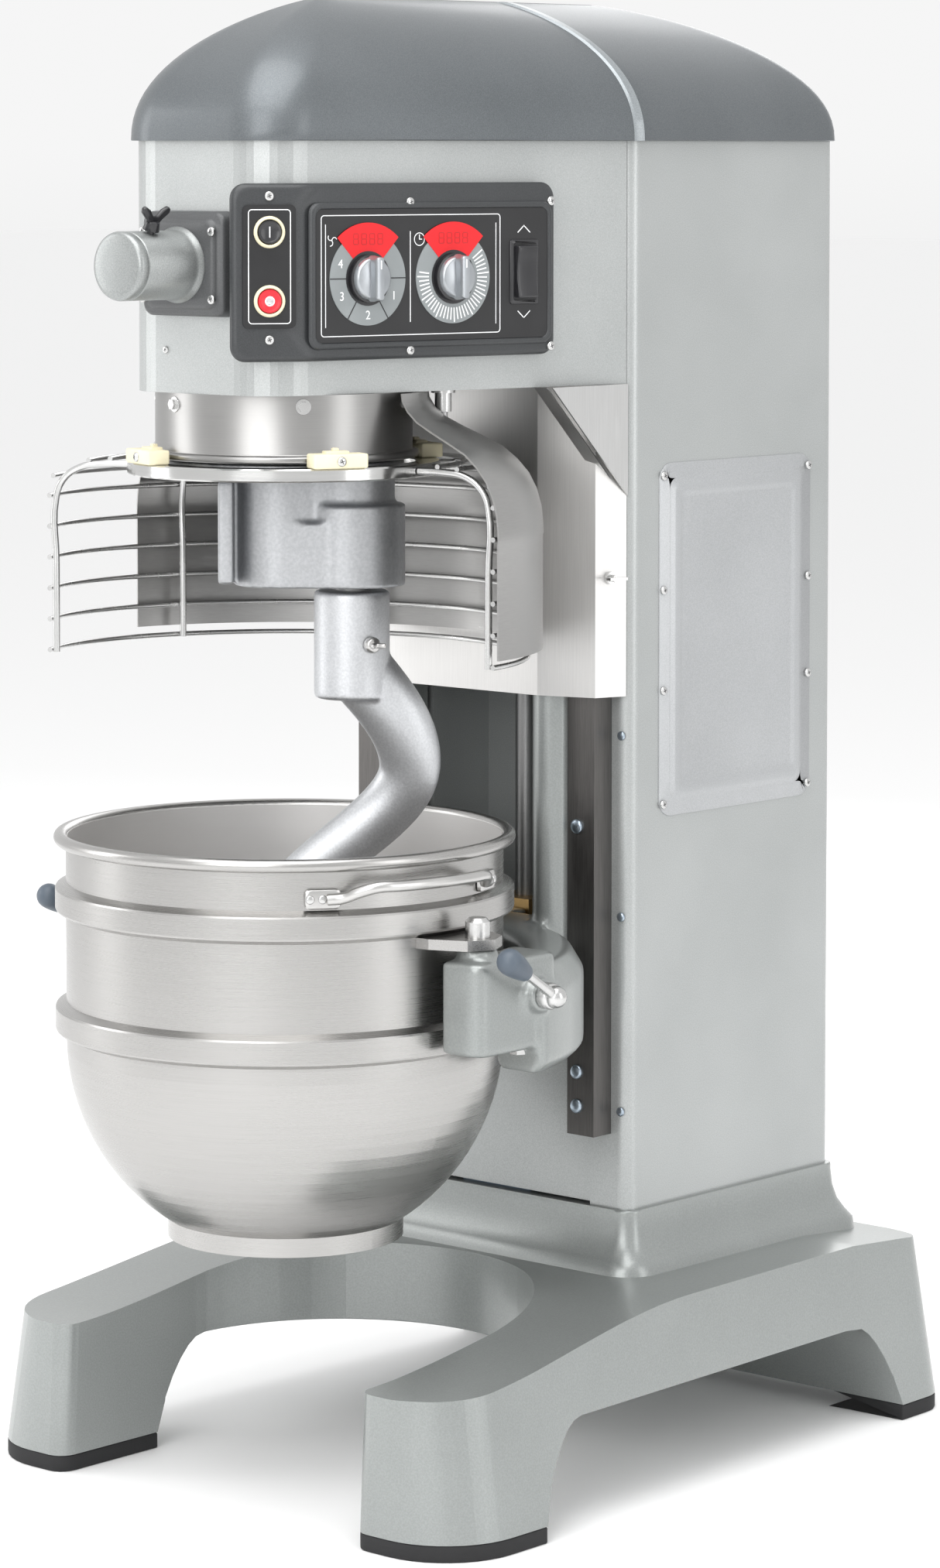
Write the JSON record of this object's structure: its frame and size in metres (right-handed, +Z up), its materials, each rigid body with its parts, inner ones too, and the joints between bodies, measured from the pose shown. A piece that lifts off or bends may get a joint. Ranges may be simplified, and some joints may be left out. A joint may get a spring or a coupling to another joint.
{
  "type": "commercial stand mixer",
  "caption": "Floor-standing planetary dough mixer with a lowering bowl, a turning wire guard, a dough hook and a dial control panel",
  "frame": {"origin": "on the floor at the middle of the footprint", "axes": "+Z up; the front, with the bowl, faces -Y; +X is the control panel's side"},
  "size_m": [0.71, 1.015, 1.604],
  "materials": {
    "grey_enamel": "satin metallic",
    "dark_enamel": "satin",
    "black_rubber": "matte",
    "stainless": "brushed",
    "polished_stainless": "fine satin polish",
    "screw_steel": "bright",
    "slide_steel": "oiled ground steel",
    "cast_aluminium": "tumbled casting",
    "machined_steel": "machined",
    "grey_iron": "as cast",
    "motor_enamel": "satin",
    "bronze": "machined",
    "black_plastic": "gloss",
    "black_fascia": "satin printed film",
    "dial_grey": "printed film",
    "silver_plastic": "silver lacquer",
    "red_plastic": "gloss",
    "cream_plastic": "moulded",
    "slate_plastic": "moulded"
  },
  "bodies": {
    "machine": {"base_casting": "grey_enamel", "foot_pads": "black_rubber", "column_shell": "grey_enamel", "rear_cover": "grey_enamel", "side_access_panels": "grey_enamel", "panel_screws": "screw_steel", "column_front_cover": "grey_enamel", "slideways": "slide_steel", "slideway_bolts": "screw_steel", "column_shroud": "stainless", "shroud_screws": "screw_steel", "head_shell": "grey_enamel", "head_gussets": "stainless", "hood": "dark_enamel", "gear_case": "grey_iron", "planetary_drum": "stainless", "ring_gear": "machined_steel", "hub_plate": "dark_enamel", "hub_barrel": "grey_enamel", "control_bezel": "dark_enamel", "control_fascia": "black_fascia", "start_stop_plate": "black_fascia", "dial_faces": "dial_grey", "splash_shield": "stainless", "interlock_switch": "machined_steel", "drive_motor": "motor_enamel", "lift_motor": "motor_enamel", "cable_gland": "black_plastic", "shaft_bearings": "machined_steel"},
    "guard": {"guard_ring": "polished_stainless", "guard_wires": "polished_stainless", "guard_guides": "cream_plastic"},
    "planetary": {"planetary_head": "cast_aluminium", "planetary_gear": "machined_steel", "agitator_bearings": "machined_steel"},
    "agitator": {"agitator_shaft": "machined_steel", "agitator_pinion": "machined_steel", "dough_hook": "cast_aluminium"},
    "hook_screw": {"hook_thumb_screw": "screw_steel"},
    "countershaft": {"countershaft_gears": "machined_steel"},
    "motor_rotor": {"motor_pinion": "machined_steel"},
    "hub_drive": {"hub_drive_shaft": "machined_steel"},
    "hub_cap": {"hub_cap": "grey_enamel"},
    "hub_screw": {"hub_thumb_screw": "black_plastic"},
    "speed_knob": {"speed_knob": "silver_plastic"},
    "timer_knob": {"timer_knob": "silver_plastic"},
    "start_button": {"start_button": "black_plastic"},
    "stop_button": {"stop_button": "red_plastic"},
    "lift_rocker": {"lift_rocker": "black_plastic"},
    "interlock_plunger": {"interlock_plunger": "machined_steel"},
    "bowl_lift": {"bowl_support": "grey_enamel", "bowl_pins": "machined_steel", "lift_nut": "bronze"},
    "lift_screw": {"lift_screw": "machined_steel"},
    "clamp_right": {"clamp_lever_right": "slate_plastic"},
    "clamp_left": {"clamp_lever_left": "slate_plastic"},
    "bowl": {"bowl": "polished_stainless", "bowl_bands": "stainless", "bowl_ears": "stainless", "bowl_handles": "polished_stainless"}
  },
  "joints": [
    {"name": "bowl_lift_slide", "type": "slide", "parent": "machine", "child": "bowl_lift", "axis": [0, 0, 1], "range_m": [0, 0.18]},
    {"name": "lift_screw_spin", "type": "hinge", "parent": "machine", "child": "lift_screw", "pos_m": [0, 0.1375, 0.6], "axis": [0, 0, 1], "range_deg": [0, 6480]},
    {"name": "bowl_lift_off", "type": "slide", "parent": "bowl_lift", "child": "bowl", "axis": [0, 0, 1], "range_m": [0, 0.018]},
    {"name": "clamp_right_turn", "type": "hinge", "parent": "bowl_lift", "child": "clamp_right", "pos_m": [0.326, -0.2035, 0.5645], "axis": [1, 0, 0], "range_deg": [-80, 0]},
    {"name": "clamp_left_turn", "type": "hinge", "parent": "bowl_lift", "child": "clamp_left", "pos_m": [-0.326, -0.2035, 0.5645], "axis": [1, 0, 0], "range_deg": [-80, 0]},
    {"name": "planetary_spin", "type": "hinge", "parent": "machine", "child": "planetary", "pos_m": [0, -0.2575, 1.1], "axis": [0, 0, 1], "continuous": true},
    {"name": "agitator_spin", "type": "hinge", "parent": "planetary", "child": "agitator", "pos_m": [0.05351, -0.20932, 0.9], "axis": [0, 0, 1], "continuous": true},
    {"name": "hook_screw_turn", "type": "hinge", "parent": "agitator", "child": "hook_screw", "pos_m": [0.05351, -0.20932, 0.916], "axis": [0.9511, -0.309, 0], "range_deg": [0, 360]},
    {"name": "countershaft_spin", "type": "hinge", "parent": "machine", "child": "countershaft", "pos_m": [0, -0.1295, 1.25], "axis": [0, 0, 1], "continuous": true},
    {"name": "motor_spin", "type": "hinge", "parent": "machine", "child": "motor_rotor", "pos_m": [0, -0.0095, 1.25], "axis": [0, 0, 1], "continuous": true},
    {"name": "hub_drive_spin", "type": "hinge", "parent": "machine", "child": "hub_drive", "pos_m": [0, -0.3575, 1.321], "axis": [0, -1, 0], "continuous": true},
    {"name": "hub_cap_pull", "type": "slide", "parent": "machine", "child": "hub_cap", "axis": [0, -1, 0], "range_m": [0, 0.04]},
    {"name": "hub_screw_turn", "type": "hinge", "parent": "machine", "child": "hub_screw", "pos_m": [0, -0.4695, 1.321], "axis": [0.342, 0, 0.9397], "range_deg": [0, 360]},
    {"name": "guard_turn", "type": "hinge", "parent": "machine", "child": "guard", "pos_m": [0, -0.2575, 1.1], "axis": [0, 0, 1], "range_deg": [0, 160]},
    {"name": "speed_turn", "type": "hinge", "parent": "machine", "child": "speed_knob", "pos_m": [0.14708, -0.28602, 1.307], "axis": [0.9833, -0.1822, 0], "range_deg": [-90, 90]},
    {"name": "timer_turn", "type": "hinge", "parent": "machine", "child": "timer_knob", "pos_m": [0.16749, -0.1759, 1.307], "axis": [0.9833, -0.1822, 0], "range_deg": [-300, 0]},
    {"name": "start_press", "type": "slide", "parent": "machine", "child": "start_button", "axis": [-0.829, 0.5592, 0], "range_m": [0, 0.003], "stiffness_N_per_m": 600},
    {"name": "stop_press", "type": "slide", "parent": "machine", "child": "stop_button", "axis": [-0.829, 0.5592, 0], "range_m": [0, 0.003], "stiffness_N_per_m": 600},
    {"name": "rocker_tilt", "type": "hinge", "parent": "machine", "child": "lift_rocker", "pos_m": [0.17741, -0.0801, 1.311], "axis": [-0.1822, -0.9833, 0], "range_deg": [-8, 8], "stiffness_Nm_per_rad": 0.6},
    {"name": "interlock_press", "type": "slide", "parent": "machine", "child": "interlock_plunger", "axis": [0, 0, 1], "range_m": [0, 0.006], "stiffness_N_per_m": 120}
  ],
  "couplings": [
    {"joint": "lift_screw_spin", "follows": "bowl_lift_slide", "rad_per_m": 628.32},
    {"joint": "agitator_spin", "follows": "planetary_spin", "ratio": -3},
    {"joint": "countershaft_spin", "follows": "planetary_spin", "ratio": -3},
    {"joint": "motor_spin", "follows": "planetary_spin", "ratio": 8.25},
    {"joint": "hub_drive_spin", "follows": "planetary_spin", "ratio": 1}
  ]
}
